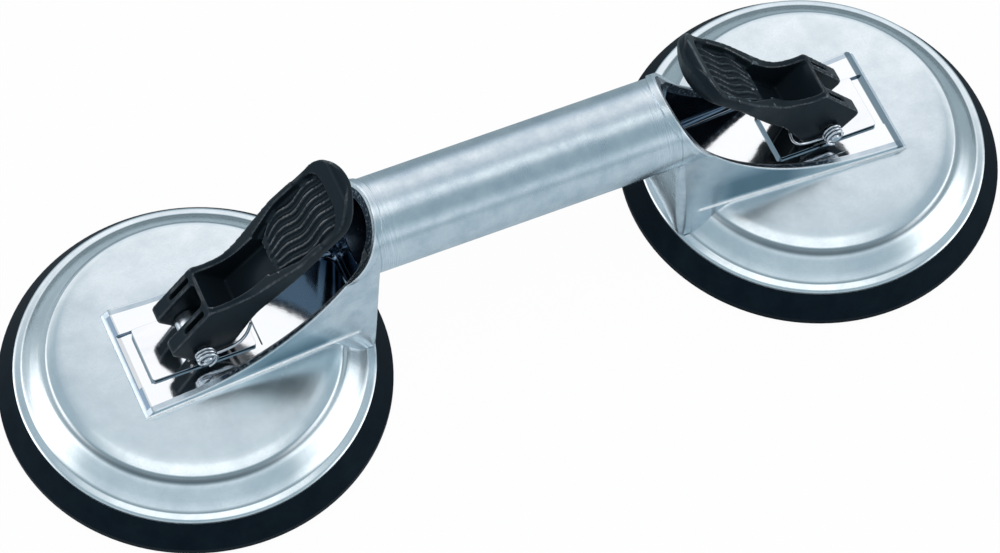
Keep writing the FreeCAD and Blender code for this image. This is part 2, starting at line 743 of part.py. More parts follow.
def make_lever_blank():
    """The moulded lever lying flat: its side view, trimmed to its plan and hollowed."""
    body = new_body("lever_blank")
    side = new_sketch(body, "lever_side_view", "XZ_Plane")
    add_outline(side, [
        ("-sizes.prong_back", "sizes.prong_top", "sizes.nose_round"),
        ("-sizes.prong_back", "-sizes.prong_back_drop", "sizes.heel_round"),
        ("-sizes.heel_shift", "-sizes.heel_start_drop", "sizes.heel_round"),
        ("sizes.heel_reach", "-sizes.heel_drop", "sizes.heel_round"),
        ("sizes.heel_reach * 5", "-sizes.stem_underside", "sizes.stem_underside * 3"),
        ("sizes.lever_length", "-sizes.stem_underside"),
        ("sizes.lever_length", "sizes.tip_top", "sizes.tip_round"),
        ("sizes.pad_end - sizes.inner_round * 4", "sizes.pad_rim_top", "sizes.pad_half_width"),
        ("sizes.stem_reach", "sizes.waist_top", "sizes.pad_half_width * 2"),
        ("sizes.waist_reach", "sizes.waist_top", "sizes.lever_half_width * 2"),
        ("sizes.web_reach", "sizes.web_top", "sizes.inner_round"),
    ])
    add_pad(body, side, "sizes.pad_half_width * 2", both_ways=True)
    plan = new_sketch(body, "lever_plan", "XY_Plane")
    spare = "sizes.lever_length"
    add_rectangle(plan, "-" + spare, "-" + spare, spare + " * 2", spare)
    add_outline(plan, both_sides([
        ("-sizes.prong_back * 2", "sizes.lever_half_width"),
        ("sizes.waist_reach", "sizes.lever_half_width", "sizes.pad_half_width * 2"),
        ("sizes.pad_start", "sizes.pad_half_width", "sizes.lever_half_width * 2"),
        ("sizes.lever_length", "sizes.pad_half_width", "sizes.pad_tip_round"),
    ]))
    add_pocket(body, plan, spare, both_ways=True)

    def hollow(name, low, *outlines):
        """Cut down from above the lever to a floor."""
        sketch = new_sketch(body, name, "XY_Plane", low)
        for outline in outlines:
            add_outline(sketch, outline)
        add_pocket(body, sketch, spare, reverse=True)

    hollow("trough", "-sizes.trough_floor", both_sides([
        ("sizes.web_reach", "sizes.trough_half_width", "sizes.inner_round"),
        ("sizes.stem_reach", "sizes.trough_half_width", "sizes.inner_round"),
    ]))
    fork = "sizes.prong_gap_half_width"
    web_start = "sizes.web_reach - sizes.web_thickness"
    hollow("fork", "-sizes.heel_drop * 2", both_sides([
        ("-sizes.prong_back * 2", fork), (web_start, fork, "sizes.inner_round"),
    ]))
    middle = "(sizes.prong_gap_half_width + sizes.lever_half_width) / 2"
    pocket_end = "sizes.web_reach - sizes.web_thickness * 1.5"
    pocket_start = f"{pocket_end} - sizes.prong_pocket_length"
    pockets = []
    for side_sign in ("-", ""):
        edges = [f"{side_sign}({middle} + {shift})"
                 for shift in ("sizes.prong_pocket_width / 2", "-sizes.prong_pocket_width / 2")]
        low, high = edges if side_sign else edges[::-1]
        pockets.append([(pocket_start, low), (pocket_end, low),
                        (pocket_end, high), (pocket_start, high)])
    hollow("prong_pockets", "sizes.web_top - sizes.prong_pocket_depth", *pockets)

    pin_bore = new_sketch(body, "lever_pin_bore", "XZ_Plane")
    add_circle(pin_bore, "0", "0", "sizes.pin_radius + sizes.hinge_clearance")
    add_pocket(body, pin_bore, spare, both_ways=True)
    return body


def make_lever_belly():
    """A turned envelope that rounds the underside and the tip of the thumb pad."""
    body = new_body("lever_belly")
    profile = new_sketch(body, "lever_belly_profile", "XZ_Plane")
    start = "sizes.waist_reach"
    belly = "sizes.belly_radius"
    add_outline(profile, [
        ("-sizes.lever_length", "0"),
        ("sizes.lever_length + sizes.tip_round", "0"),
        ("sizes.lever_length + sizes.tip_round", belly + " * 0.5"),
        ("sizes.pad_end", belly, "sizes.pad_half_width"),
        ("sizes.pad_start + sizes.inner_round", belly, "sizes.pad_half_width * 2"),
        (start, belly + " + sizes.stem_relief"),
        (start, belly + " * 2"),
        ("-sizes.lever_length", belly + " * 2"),
    ])
    add_turn(body, profile, "H_Axis")
    body.setExpression("Placement.Base.z", "sizes.belly_radius - sizes.stem_underside")
    return body


def make_thumb_hollow(name, low, high):
    """The room between two levels over the floor of the thumb pad, inside its rim."""
    body = new_body(name)
    side = new_sketch(body, name + "_side", "XZ_Plane")
    start = "sizes.stem_reach - sizes.inner_round"
    floor = "sizes.waist_top - sizes.pad_dish_depth"
    end = "sizes.pad_end + sizes.inner_round"

    def level(rise):
        return [(start, f"{floor} + {rise}"),
                ("sizes.pad_end - sizes.pad_dish_depth", f"{floor} + {rise}",
                 "sizes.pad_half_width"),
                (end, f"{floor} + sizes.pad_dish_depth / 2 + {rise}")]

    add_outline(side, level(low) + level(high)[::-1])
    add_pad(body, side, "sizes.pad_half_width * 2", both_ways=True)
    plan = new_sketch(body, name + "_plan", "XY_Plane")
    spare = "sizes.lever_length"
    add_rectangle(plan, "-" + spare, "-" + spare, spare + " * 2", spare)
    add_outline(plan, both_sides([
        (start, "sizes.pad_neck_half_width"),
        ("sizes.pad_start", "sizes.pad_dish_half_width", "sizes.pad_half_width"),
        ("sizes.pad_end", "sizes.pad_dish_half_width", "sizes.pad_dish_round"),
    ]))
    add_pocket(body, plan, spare, both_ways=True)
    return body


def make_thumb_ribs():
    """Wavy grip ribs that fan out over the hollow of the thumb pad."""
    ribs = new_body("rib_waves")
    ribs.AllowCompound = True
    waves = new_sketch(ribs, "rib_wave", "XY_Plane")
    count = int(value("sizes.rib_count"))
    for number in range(count):
        place = f"({number} - (sizes.rib_count - 1) / 2) * sizes.rib_pitch"
        near, far = [], []
        for step in range(RIB_STEPS + 1):
            along = f"sizes.stem_reach + {step} * (sizes.pad_end - sizes.stem_reach) / {RIB_STEPS}"
            spread = "sizes.rib_fan" if step == 0 else "1"
            sway = ("" if step % 2 else "-") + "sizes.rib_wave / 2"
            bend = ("sizes.rib_pitch * 3",) if 0 < step < RIB_STEPS else ()
            near.append((along, f"{place} * {spread} + {sway} - sizes.rib_width / 2", *bend))
            far.append((along, f"{place} * {spread} + {sway} + sizes.rib_width / 2", *bend))
        add_outline(waves, near + far[::-1])
    add_pad(ribs, waves, "sizes.lever_length", both_ways=True)
    band = make_thumb_hollow("rib_band", "(-sizes.rib_height)", "sizes.rib_height")
    return shared("thumb_ribs", ribs, band)


def make_lever():
    shell = shared("lever_shell", make_lever_blank(), make_lever_belly())
    dish = make_thumb_hollow("thumb_dish", "0", "sizes.pad_half_width")
    lever = join("lever", cut("dished_lever", shell, dish), make_thumb_ribs())
    lever.Placement.Rotation = FreeCAD.Rotation(-ACROSS, value("sizes.lever_angle"))
    lever.setExpression("Placement.Rotation.Angle", "sizes.lever_angle * 1 deg")
    place_on_cup(lever, "sizes.pin_height")
    return lever


# ---- springs ------------------------------------------------------------------------------


def make_lever_spring():
    """A torsion spring on the pin outside the near cheek, with one leg under the lever."""
    body = new_body("lever_spring")
    wire = "sizes.lever_spring_wire"
    coil_pitch = f"{wire} * 2 + sizes.seat_gap"
    start = f"-(sizes.lever_half_width + sizes.side_clearance + {wire})"
    section = new_sketch(body, "lever_spring_section", "YZ_Plane")
    add_wire_section(section, start, "-sizes.lever_spring_radius", wire, 6)
    add_coil(body, section, coil_pitch, "sizes.lever_spring_turns", "H_Axis",
             reverse=True, left_handed=True)
    leg = new_sketch(body, "lever_spring_leg_section", "YZ_Plane")
    add_wire_section(leg, start, "-sizes.lever_spring_radius", wire, 6)
    add_pad(body, leg, "sizes.lever_spring_leg")
    place_on_cup(body, "sizes.pin_height")
    return body


def make_return_spring():
    """A compression spring of square wire between the bush flange and the pad core."""
    body = new_body("return_spring")
    section = new_sketch(body, "return_spring_section", "XZ_Plane")
    wire = "sizes.return_spring_wire"
    low = f"{CORE_SEAT} + sizes.core_thickness + {wire} + sizes.seat_gap"
    high = f"{PLATEAU_UNDERSIDE} - sizes.bush_flange - {wire} - sizes.seat_gap"
    add_wire_section(section, "sizes.return_spring_radius", low, wire, 4)
    add_coil(body, section, f"(({high}) - ({low})) / sizes.return_spring_turns",
             "sizes.return_spring_turns")
    place_on_cup(body)
    return body


# ---- assembly -----------------------------------------------------------------------------

LEFT_PIECES = {
    "disc": make_disc(),
    "rubber_pad": make_rubber_pad(),
    "cam_plate": make_cam_plate(),
    "guide_bush": make_guide_bush(),
    "foot_screws": make_foot_screws(),
    "pad_core": make_pad_core(),
    "pull_stud": make_pull_stud(),
    "pivot_pin": make_pivot_pin(),
    "pin_rings": make_pin_rings(),
    "lever": make_lever(),
    "lever_spring": make_lever_spring(),
    "return_spring": make_return_spring(),
}

subparts = [make_handle()]
for name, left in LEFT_PIECES.items():
    right = doc.addObject("Part::Mirroring", "right_" + name)
    right.Source = left
    right.Normal = (1, 0, 0)
    left.Label = "left_" + name
    right.Label = "right_" + name
    subparts += [left, right]

doc.recompute()

for item in doc.Objects:
    if "Invalid" in item.State or "Error" in item.State:
        raise RuntimeError(f"{item.Label} failed to recompute: {item.State}")
for piece in subparts:
    if piece.Shape.isNull() or not piece.Shape.isValid():
        raise RuntimeError(f"{piece.Label} has no valid shape")

os.makedirs("parts", exist_ok=True)
for piece in subparts:
    piece.Shape.exportStep(f"parts/{piece.Label}.step")
    print(f"{piece.Label}: {len(piece.Shape.Solids)} solid(s), {piece.Shape.Volume:.0f} mm3")
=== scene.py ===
import math

import bmesh
import bpy
from mathutils import Matrix, Vector


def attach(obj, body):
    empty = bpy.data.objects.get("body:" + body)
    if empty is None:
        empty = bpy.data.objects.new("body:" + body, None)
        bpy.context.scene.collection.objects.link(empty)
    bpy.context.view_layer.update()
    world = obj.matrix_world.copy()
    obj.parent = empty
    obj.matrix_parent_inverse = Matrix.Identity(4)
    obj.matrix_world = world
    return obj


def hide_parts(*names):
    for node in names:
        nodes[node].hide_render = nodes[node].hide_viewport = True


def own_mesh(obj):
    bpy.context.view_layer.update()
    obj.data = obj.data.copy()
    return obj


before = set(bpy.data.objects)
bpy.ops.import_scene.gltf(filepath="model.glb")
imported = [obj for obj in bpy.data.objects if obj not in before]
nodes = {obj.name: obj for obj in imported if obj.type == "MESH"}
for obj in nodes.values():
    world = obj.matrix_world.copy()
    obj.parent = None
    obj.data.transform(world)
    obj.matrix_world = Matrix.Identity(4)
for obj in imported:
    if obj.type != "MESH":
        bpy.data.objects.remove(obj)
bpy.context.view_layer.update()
mm = 0.001
# which way each side lies along x
sides = {"left": -1.0, "right": 1.0}


# One class wraps a socket, so shader maths reads as plain expressions.
class Wire:
    def __init__(self, graph, socket):
        self.graph = graph
        self.socket = socket

    def calc(self, operation, *values, clamp=False):
        settings = {"operation": operation, "use_clamp": clamp}
        return self.graph.node("ShaderNodeMath", settings, dict(enumerate(values)))

    def __add__(self, other):
        return self.calc("ADD", self, other)

    def __radd__(self, other):
        return self.calc("ADD", other, self)

    def __sub__(self, other):
        return self.calc("SUBTRACT", self, other)

    def __rsub__(self, other):
        return self.calc("SUBTRACT", other, self)

    def __mul__(self, other):
        return self.calc("MULTIPLY", self, other)

    def __rmul__(self, other):
        return self.calc("MULTIPLY", other, self)

    def __truediv__(self, other):
        return self.calc("DIVIDE", self, other)

    def __neg__(self):
        return self.calc("SUBTRACT", 0.0, self)

    def __abs__(self):
        return self.calc("ABSOLUTE", self)

    def root(self):
        return self.calc("SQRT", self)

    def sine(self):
        return self.calc("SINE", self)

    def larger(self, other):
        return self.calc("MAXIMUM", self, other)

    def clipped(self):
        return self.calc("ADD", self, 0.0, clamp=True)

    def above(self, edge, softness):
        return ((self - edge) / softness + 0.5).clipped()

    def between(self, low, high, softness):
        return self.above(low, softness) * (1.0 - self.above(high, softness))


# A node tree, with one method that makes any node in it.
class Graph:
    def __init__(self, tree):
        self.tree = tree

    def node(self, kind, settings=None, inputs=None, output=0):
        made = self.tree.nodes.new(kind)
        for key, value in (settings or {}).items():
            if key == "stops":
                ramp = made.color_ramp
                while len(ramp.elements) < len(value):
                    ramp.elements.new(1.0)
                for element, (position, colour) in zip(ramp.elements, value):
                    element.position = position
                    element.color = (*colour, 1.0)
            else:
                setattr(made, key, value)
        for key, value in (inputs or {}).items():
            if isinstance(value, Wire):
                self.tree.links.new(value.socket, made.inputs[key])
            else:
                made.inputs[key].default_value = value
        return Wire(self, made.outputs[output])

    def ramp(self, amount, stops):
        return self.node("ShaderNodeValToRGB", {"stops": stops}, {0: amount})

    def blend(self, amount, first, second):
        ends = {0: amount, 6: first, 7: second}
        for key in (6, 7):
            if not isinstance(ends[key], Wire):
                ends[key] = (*ends[key], 1.0)
        return self.node("ShaderNodeMix", {"data_type": "RGBA"}, ends, output=2)

    # the paths that see plain white, and the mirrored ones
    def paths(self):
        camera = self.node("ShaderNodeLightPath", output="Is Camera Ray")
        clear = self.node("ShaderNodeLightPath", output="Is Transmission Ray")
        return camera.larger(clear), self.node("ShaderNodeLightPath", output="Is Glossy Ray")


# One material: a Principled shader plus whatever nodes feed it. Lengths are in mm.
class Finish(Graph):
    def __init__(self, name, fixed):
        self.material = bpy.data.materials.new(name)
        self.material.use_nodes = True
        super().__init__(self.material.node_tree)
        self.shader = self.tree.nodes["Principled BSDF"]
        for socketName, value in fixed.items():
            self.shader.inputs[socketName].default_value = value

    def feed(self, **wires):
        for socketName, wire in wires.items():
            self.tree.links.new(wire.socket, self.shader.inputs[socketName.replace("_", " ")])

    def place(self, x=1.0, y=1.0, z=1.0):
        inputs = {"Vector": self.node("ShaderNodeTexCoord", output="Object"),
                  "Scale": (x / mm, y / mm, z / mm)}
        return self.node("ShaderNodeMapping", None, inputs)

    def axes(self):
        place = self.place()
        return [self.node("ShaderNodeSeparateXYZ", None, {0: place}, output=axis)
                for axis in "XYZ"]

    def vector(self, x, y, z):
        return self.node("ShaderNodeCombineXYZ", None, {0: x, 1: y, 2: z})

    def noise(self, vector, scale, detail=3.0, roughness=0.5):
        inputs = {"Vector": vector, "Scale": scale, "Detail": detail, "Roughness": roughness}
        return self.node("ShaderNodeTexNoise", None, inputs)

    def rounded(self, radius):
        return self.node("ShaderNodeBevel", {"samples": 6}, {"Radius": radius * mm})

    def straight(self):
        return self.node("ShaderNodeNewGeometry", output="Normal")

    def edges(self, rounding):
        match = self.node("ShaderNodeVectorMath", {"operation": "DOT_PRODUCT"},
                          {0: rounding, 1: self.straight()}, output="Value")
        return 1.0 - match

    def upward(self, edge=0.9):
        height = self.node("ShaderNodeSeparateXYZ", None, {0: self.straight()}, output="Z")
        return height.above(edge, 0.1)

    def turned(self, amount, normal, other):
        return self.node("ShaderNodeMix", {"data_type": "VECTOR"},
                         {0: amount, 4: normal, 5: other}, output=1)

    def bump(self, height, depth, normal=None):
        inputs = {"Height": height, "Distance": depth * mm, "Strength": 1.0}
        if normal:
            inputs["Normal"] = normal
        return self.node("ShaderNodeBump", None, inputs)


# Camera: a long lens looking down on the near side of the handle. Lengths in mm, roll in degrees.
cameraPlan = {
    "lens": 144.5,
    "sensor": 36.0,
    "eye": (-291.76, -568.30, 1044.16),
    "aim": (-11.45, -17.75, 30.00),
    "roll": 3.885,
}


def makeCamera():
    data = bpy.data.cameras.new("studioCamera")
    data.lens = cameraPlan["lens"]
    data.sensor_width = cameraPlan["sensor"]
    data.clip_start = 0.05
    data.clip_end = 20.0
    camera = bpy.data.objects.new("studioCamera", data)
    bpy.context.collection.objects.link(camera)
    eye = Vector(cameraPlan["eye"]) * mm
    view = Vector(cameraPlan["aim"]) * mm - eye
    turn = view.to_track_quat("-Z", "Y").to_matrix().to_4x4()
    roll = Matrix.Rotation(math.radians(cameraPlan["roll"]), 4, "Z")
    camera.matrix_world = Matrix.Translation(eye) @ turn @ roll
    bpy.context.scene.camera = camera


makeCamera()
print("camera placed")

# Sizes that the finishes need to know, in mm. The pad gives the cup's place and size.
padSpan = [vert.co.x / mm for vert in nodes["right_rubber_pad"].data.vertices]
shapePlan = {
    "cupReach": round((max(padSpan) + min(padSpan)) / 2, 2),
    "padRadius": round((max(padSpan) - min(padSpan)) / 2, 2),
    "plateauRadius": 41.0,
    "shoulderRadius": 49.5,
    "footFloor": 24.6,
    "rimSetback": 10.5,
    "rimRadius": 70.6,
    "rimHeight": 95.2,
    "outerWall": 19.7,
    "wallThickness": 2.2,
    "wallTaper": 0.0523,
    "wallLean": 0.0629,
    "footBase": 11.3,
    "scoopEnd": 49.6,
    "footFront": 22.4,
    "tubeHeight": 53.4,
    "tubeRadius": 14.1,
    "tubeEnd": 49.5,
}

# Directions that finishes and studio share: the near side, and how polished faces seem to lean.
wayPlan = {
    "front": (-0.4537, -0.8912),
    "leanBack": (0.055, 0.109, 0.993),
}

castPlan = {
    "pale": (0.77, 0.84, 0.88),
    "cool": (0.58, 0.67, 0.74),
    # tones of painted shade for the outer wall, the foot's front, the bore and the rim, and a
    # painted highlight for edges, joint and brush marks
    "shaded": (0.23, 0.34, 0.41),
    "frontShade": (0.17, 0.24, 0.29),
    "throatShade": (0.16, 0.22, 0.30),
    "rimShade": (0.03, 0.05, 0.075),
    "rimPale": (0.42, 0.50, 0.56),
    "paintedHighlight": (0.90, 0.96, 1.00),
    "polished": (0.97, 0.98, 0.99),
    "roughness": 0.22,
    "roughSpread": 0.16,
    "polishedRoughness": 0.09,
    "scratchDepth": 0.012,
    "grainDepth": 0.02,
    "waveDepth": 0.05,
    "edgeRadius": 0.35,
    # where each tone lies, in mm: margins first, then stretches as (from, to)
    "channelDepth": 1.6,
    "scoopMargin": 0.3,
    "scoopFront": 1.2,
    "edgeWidth": 0.4,
    "rimBand": 2.6,
    "rimFoot": 25.6,
    "rimClear": 10.0,
    "tubeStart": 44.0,
    "boreStart": 43.0,
    "boreRadius": 12.0,
    "shadeTop": 28.5,
    "shadeTopExtra": 6.5,
    "shadeFoot": 24.4,
    "shadeReach": (12.0, 41.0),
    "jointRise": (22.1, 23.5),
    "jointEnd": 46.5,
    "lipReach": (47.9, 48.3),
    "lipFoot": 46.0,
    "brushedReach": (41.0, 47.5),
}


# Masks by place, each 1 where its tone lies and 0 elsewhere.
def castMasks(cast):
    plan, shape = castPlan, shapePlan
    x, y, z = cast.axes()
    onRight = x.above(0.0, 1.0)
    inward = shape["cupReach"] - abs(x)
    halfWidth = shape["outerWall"] - shape["wallTaper"] * (inward + shape["footFront"])
    outer = halfWidth - shape["wallLean"] * (z - shape["footBase"])
    inset = shape["wallLean"] * (shape["footFloor"] - shape["footBase"])
    inner = halfWidth - inset - shape["wallThickness"]
    # the polished inside of the scoop, and the bore behind it, darkened with painted shade
    inside = ((inner + 0.25 - abs(y)).above(0.0, 0.2)
              * (1.0 - inward.above(shape["scoopEnd"] + plan["scoopMargin"], 0.2))
              * z.above(shape["footFloor"] - plan["channelDepth"], 0.4)
              * inward.above(plan["scoopFront"] - shape["footFront"], 0.3))
    rise = z - shape["tubeHeight"]
    fromTube = (y * y + rise * rise).root()
    bore = (inside * inward.above(plan["boreStart"], 5.0)).larger(
        1.0 - fromTube.above(plan["boreRadius"], 0.4))
    # the arc that trims foot and tube: its face and the band under it, darkened with painted shade,
    # and its outer edge, lit with a painted highlight
    reach = inward + shape["rimSetback"]
    drop = z - shape["rimHeight"]
    rimDistance = (reach * reach + drop * drop).root()
    rimStart = shape["rimRadius"] - 0.3
    onRim = rimDistance.between(rimStart, shape["rimRadius"] + 0.5, 0.1)
    underRim = rimDistance.between(rimStart, shape["rimRadius"] + plan["rimBand"], 1.0)
    wallEdge = (abs(y) - outer + plan["edgeWidth"]).above(0.0, 0.2)
    tubeEdge = ((fromTube - shape["tubeRadius"] + plan["edgeWidth"]).above(0.0, 0.2)
                * inward.above(plan["tubeStart"], 1.0))
    edge = onRim * wallEdge.larger(tubeEdge)
    rim = (underRim * inside * abs(y).above(plan["rimClear"], 1.0)).larger(onRim * (1.0 - inside))
    rim = rim * z.above(plan["rimFoot"], 0.6) * (1.0 - edge)
    # the outer wall: its stretch of painted shade, and the painted highlight along the joint with
    # the ledge below
    outside = wallEdge * (1.0 - edge)
    shadeTop = plan["shadeTop"] + plan["shadeTopExtra"] * onRight
    shaded = (outside * (1.0 - z.above(shadeTop, 7.0)) * inward.between(*plan["shadeReach"], 12.0)
              * z.above(plan["shadeFoot"], 0.6))
    joint = (outside * z.between(*plan["jointRise"], 0.4)
             * (1.0 - inward.above(plan["jointEnd"], 1.0)))
    # painted shade on the foot's front strip, stronger on the right
    frontShadeStrip = ((1.0 - inward.above(2.9 - shape["footFront"] + 0.6 * onRight, 0.3))
                  * inward.above(0.8 - shape["footFront"] + 0.4 * onRight, 0.3)
                  * z.above(22.5, 0.3) * (0.35 + 0.65 * onRight))
    return {
        "inside": inside,
        "throatShade": bore.larger(inside * (1.0 - cast.upward())) * (1.0 - onRim),
        "edge": edge,
        "rim": rim,
        "shaded": shaded,
        "joint": joint,
        "frontShadeStrip": frontShadeStrip,
        "lip": abs(x).between(*plan["lipReach"], 0.2) * z.above(plan["lipFoot"], 6.0),
        "brushSheen": abs(x).between(*plan["brushedReach"], 5.0),
        "onTube": 1.0 - abs(x).above(shape["tubeEnd"], 1.0),
    }


def makeCastAluminium():
    plan = castPlan
    cast = Finish("castAluminium", {"Metallic": 1.0})
    masks = castMasks(cast)
    inside, rim, joint, onTube = (masks[name] for name in ("inside", "rim", "joint", "onTube"))
    mottle = cast.noise(cast.place(), 0.16, 5.0, 0.6)
    fine = cast.noise(cast.place(), 2.4, 4.0, 0.65)
    rings = cast.noise(cast.place(7.0, 0.12, 0.12), 1.0, 3.0, 0.6)
    speckle = cast.noise(cast.place(), 1.3, 3.0, 0.7).above(0.60, 0.14)
    brushSheen = rings.above(0.54, 0.2) * masks["brushSheen"] * 0.8
    metal = cast.blend(mottle.above(0.5, 0.35), plan["pale"], plan["cool"])
    metal = cast.blend(fine.above(0.56, 0.3) * 0.3, metal, plan["cool"])
    # painted shade low on the outer wall
    metal = cast.blend(masks["shaded"], metal, plan["shaded"])
    # a painted shade ring near the tube's end
    metal = cast.blend(masks["lip"] * 0.45, metal, plan["shaded"])
    # brush marks near the tube's ends, lightened as a painted highlight
    metal = cast.blend(brushSheen, metal, plan["paintedHighlight"])
    metal = cast.blend(inside, metal, plan["polished"])
    # painted shade in the bore and on the scoop's inner walls
    metal = cast.blend(masks["throatShade"], metal, plan["throatShade"])
    # painted shade on the foot's front strip
    metal = cast.blend(masks["frontShadeStrip"], metal, plan["frontShade"])
    # the rim face and the band under it: a real speckle, darkened with painted shade
    metal = cast.blend(rim, metal, cast.blend(speckle, plan["rimShade"], plan["rimPale"]))
    # painted highlight on the rim's outer edge and along the joint
    metal = cast.blend(masks["edge"].larger(joint), metal, plan["paintedHighlight"])
    rough = (plan["roughness"] + plan["roughSpread"] * (mottle - 0.35)
             + 0.10 * (rings - 0.5) * onTube)
    rough = rough * (1.0 - inside) + (plan["polishedRoughness"] + 0.08 * (mottle - 0.4)) * inside
    rough = (rough * (1.0 - rim) + 0.42 * rim).clipped()
    normal = cast.turned(inside * cast.upward(), cast.rounded(plan["edgeRadius"]),
                         cast.vector(*wayPlan["leanBack"]))
    normal = cast.turned(joint * 0.8, normal, cast.vector(0.0, 0.0, 1.0))
    grain = cast.bump(fine * (1.0 - inside) + speckle * rim * 2.0, plan["grainDepth"], normal)
    waves = cast.bump(mottle * inside, plan["waveDepth"], grain)
    scratches = cast.bump(rings * onTube, plan["scratchDepth"], waves)
    cast.feed(Base_Color=metal, Roughness=rough, Normal=scratches)
    return cast.material


pressedPlan = {
    "pale": (0.89, 0.95, 0.975),
    "cool": (0.72, 0.79, 0.83),
    "bend": (0.62, 0.71, 0.77),
    "reflectionTint": (0.72, 0.86, 0.91),
    "ringShade": (0.05, 0.08, 0.10),
    # the painted reflection tint beside the left foot, in mm from the cup's middle
    "veilAside": (17.0, 28.0),
    "veilInward": (4.0, 38.0),
    # lean of the sheet by radius: mm, degrees
    "lean": [
        (0, 0), (20, 1.6), (30, 3.2), (38.6, 5.6), (40.4, 9), (41.4, 14), (43.2, 19), (43.9, 48),
        (44.6, 58), (45.4, 47), (46.2, 43), (48.4, 43), (49.3, 45.5), (50.4, 47.5), (51.1, 44),
        (51.7, 14),
        (53.1, 16), (53.7, 40), (59, 60),
    ],
    # shade of the sheet by radius: mm, grey
    "shade": [
        (0, 1.0), (43.2, 1.0), (44.0, 0.22), (44.6, 0.22), (45.4, 1.0), (50.5, 1.0),
        (51.1, 0.60), (51.6, 1.0), (59, 1.0),
    ],
    "roughness": 0.22,
    "roughSpread": 0.14,
    "turningDepth": 0.008,
    "waveDepth": 0.16,
}


def makePressedAluminium():
    plan, shape = pressedPlan, shapePlan
    disc = Finish("pressedAluminium", {"Metallic": 1.0})
    x, y = disc.axes()[:2]
    across = abs(x) - shape["cupReach"]
    radius = (across * across + y * y).root()
    turning = disc.noise(disc.vector(radius * 3.5, across * 0.03, y * 0.03), 1.0, 3.0, 0.6)
    mottle = disc.noise(disc.place(), 0.09, 5.0, 0.6)
    fine = disc.noise(disc.place(), 1.4, 4.0, 0.7)
    waves = disc.noise(disc.place(), 0.045, 2.0, 0.5)
    shoulder = radius.between(shape["plateauRadius"] - 2.0, shape["shoulderRadius"], 3.0)
    metal = disc.blend(mottle.above(0.53, 0.3) * 0.8, plan["pale"], plan["cool"])
    metal = disc.blend(fine.above(0.58, 0.2) * 0.35, metal, plan["cool"])
    # painted shade on the shoulder, in patches
    metal = disc.blend(shoulder * 0.25 * mottle, metal, plan["bend"])
    # a painted reflection tint on the plateau beside the left foot
    reflectionTint = (-y).between(*plan["veilAside"], 5.0) * (-across).between(*plan["veilInward"], 12.0)
    onLeft = 1.0 - x.above(0.0, 1.0)
    metal = disc.blend(reflectionTint * 0.6 * onLeft, metal, plan["reflectionTint"])
    rough = (plan["roughness"] + plan["roughSpread"] * (mottle - 0.4)
             + 0.08 * (turning - 0.5) + 0.08 * (fine - 0.5)).clipped()
    reach = shape["padRadius"]
    lean = disc.ramp(radius / reach, [(at / reach, (tilt / 90,) * 3)
                                      for at, tilt in plan["lean"]]) * (math.pi / 2)
    outward = lean.sine() / radius
    face = disc.vector(across * outward * x.calc("SIGN", x), y * outward, lean.calc("COSINE", lean))
    face = disc.turned(disc.upward(0.2), disc.straight(), face)
    shade = disc.ramp(radius / reach, [(at / reach, (grey,) * 3)
                                       for at, grey in plan["shade"]])
    nearX, nearY = wayPlan["front"]
    near = (across * x.calc("SIGN", x) * nearX + y * nearY) / radius
    # painted shade in rings from the shade table, strongest on the near side
    shaded = (1.0 - shade) * (0.15 + 0.85 * near.above(0.62, 0.7))
    metal = disc.blend(shaded, metal, plan["ringShade"])
    marks = disc.bump(turning + 0.4 * fine, plan["turningDepth"], face)
    swell = disc.bump(waves, plan["waveDepth"], marks)
    disc.feed(Base_Color=metal, Roughness=rough, Normal=swell)
    return disc.material


polishedPlan = {
    "steel": (0.98, 0.98, 0.99),
    "stain": (0.84, 0.88, 0.92),
    # painted shade: edge darkens the plate's edges, side its sides
    "edge": (0.20, 0.28, 0.34),
    "side": (0.30, 0.38, 0.44),
    "roughness": 0.08,
    "lineDepth": 0.002,
    "edgeRadius": 0.15,
}


def makePolishedSteel():
    plan = polishedPlan
    steel = Finish("polishedSteel", {"Metallic": 1.0})
    smear = steel.noise(steel.place(0.4, 1.6, 1.0), 0.12, 4.0, 0.6)
    lines = steel.noise(steel.place(0.3, 9.0, 1.0), 1.0, 2.0, 0.5)
    metal = steel.blend(smear.above(0.55, 0.3) * 0.5, plan["steel"], plan["stain"])
    rounding = steel.rounded(plan["edgeRadius"])
    # painted shade on the plate's sides
    metal = steel.blend(1.0 - steel.upward(), metal, plan["side"])
    # painted shade along the plate's edges
    metal = steel.blend((steel.edges(rounding) * 8.0).clipped(), metal, plan["edge"])
    rough = (plan["roughness"] + 0.07 * (smear - 0.4) + 0.04 * (lines - 0.5)).clipped()
    normal = steel.turned(steel.upward(), rounding, steel.vector(*wayPlan["leanBack"]))
    marks = steel.bump(lines, plan["lineDepth"], normal)
    steel.feed(Base_Color=metal, Roughness=rough, Normal=marks)
    return steel.material


zincPlan = {
    "bright": (0.80, 0.82, 0.86),
    "grey": (0.52, 0.56, 0.62),
    "flakes": 1.1,
    "roughness": 0.20,
    "grainDepth": 0.006,
}

springSteelPlan = {
    **zincPlan,
    "flakes": 0.66,
    "roughness": 0.12,
}


def makeZincSteel(name, plan):
    zinc = Finish(name, {"Metallic": 1.0})
    flakes = zinc.noise(zinc.place(), plan["flakes"], 4.0, 0.6)
    fine = zinc.noise(zinc.place(), 6.0, 3.0, 0.6)
    metal = zinc.blend(flakes.above(0.5, 0.35) * 0.7, plan["bright"], plan["grey"])
    rough = (plan["roughness"] + 0.15 * (flakes - 0.4) + 0.06 * (fine - 0.5)).clipped()
    zinc.feed(Base_Color=metal, Roughness=rough, Normal=zinc.bump(fine, plan["grainDepth"]))
    return zinc.material


plasticPlan = {
    "deep": (0.0085, 0.0130, 0.0170),
    # worn: the flow marks' tone, also used for the painted sheen on rib crests
    "worn": (0.0090, 0.0150, 0.0200),
    "roughness": 0.36,
    "grainDepth": 0.008,
    "flowDepth": 0.05,
}


